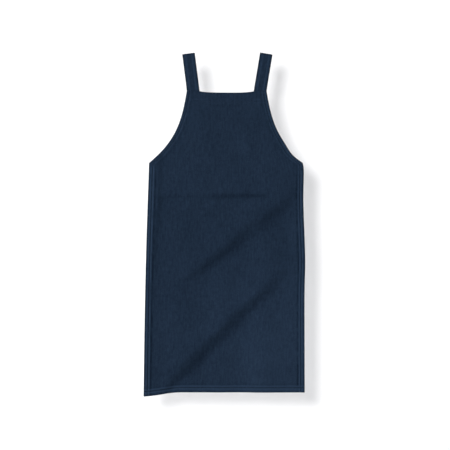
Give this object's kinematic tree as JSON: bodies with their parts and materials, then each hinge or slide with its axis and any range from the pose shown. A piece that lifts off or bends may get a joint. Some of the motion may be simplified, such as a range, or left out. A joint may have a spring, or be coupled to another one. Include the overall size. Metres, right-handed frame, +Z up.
{
  "type": "work apron",
  "caption": "Denim work apron with a narrow bib, curved armholes, stitched hems and long straps that fold over a hanging line and swing behind the body.",
  "frame": {"origin": "on the hanging line, midway along it: the highest line of the space inside the two strap folds, on the bib's centre plane", "axes": "+Z up with the apron hanging, front towards -Y, +X to the right as seen from the front"},
  "size_m": [0.482, 0.0206, 1.0196],
  "materials": {
    "denim": "matt indigo twill",
    "denim_reverse": "matt, paler reverse of the twill",
    "thread": "matt sewing thread, in the cloth's tone"
  },
  "bodies": {
    "apron": {"body_panel": "denim", "bib_top_hem": "denim_reverse", "bottom_hem": "denim_reverse", "left_armhole_facing": "denim_reverse", "right_armhole_facing": "denim_reverse", "left_side_hem": "denim_reverse", "right_side_hem": "denim_reverse", "left_strap_front": "denim", "left_strap_fold": "denim", "right_strap_front": "denim", "right_strap_fold": "denim", "left_side_loop": "denim", "right_side_loop": "denim", "bib_stitch": "thread", "bottom_stitch": "thread", "left_armhole_stitch": "thread", "right_armhole_stitch": "thread", "left_side_stitch": "thread", "right_side_stitch": "thread", "left_strap_tack_stitch": "thread", "left_strap_outer_stitch": "thread", "left_strap_inner_stitch": "thread", "right_strap_tack_stitch": "thread", "right_strap_outer_stitch": "thread", "right_strap_inner_stitch": "thread", "left_loop_top_bartack": "thread", "left_loop_bottom_bartack": "thread", "right_loop_top_bartack": "thread", "right_loop_bottom_bartack": "thread"},
    "left_tail": {"left_strap_tail": "denim", "left_strap_tail_stitch": "thread"},
    "right_tail": {"right_strap_tail": "denim", "right_strap_tail_stitch": "thread"}
  },
  "joints": [
    {"name": "left_strap_swing", "type": "hinge", "parent": "apron", "child": "left_tail", "pos_m": [-0.11352, 0, -0.005], "axis": [0.9921, 0, 0.1253], "range_deg": [0, 120], "deforming": ["left_strap_fold"]},
    {"name": "right_strap_swing", "type": "hinge", "parent": "apron", "child": "right_tail", "pos_m": [0.11771, 0, -0.005], "axis": [0.9866, 0, -0.1633], "range_deg": [0, 120], "deforming": ["right_strap_fold"]}
  ]
}
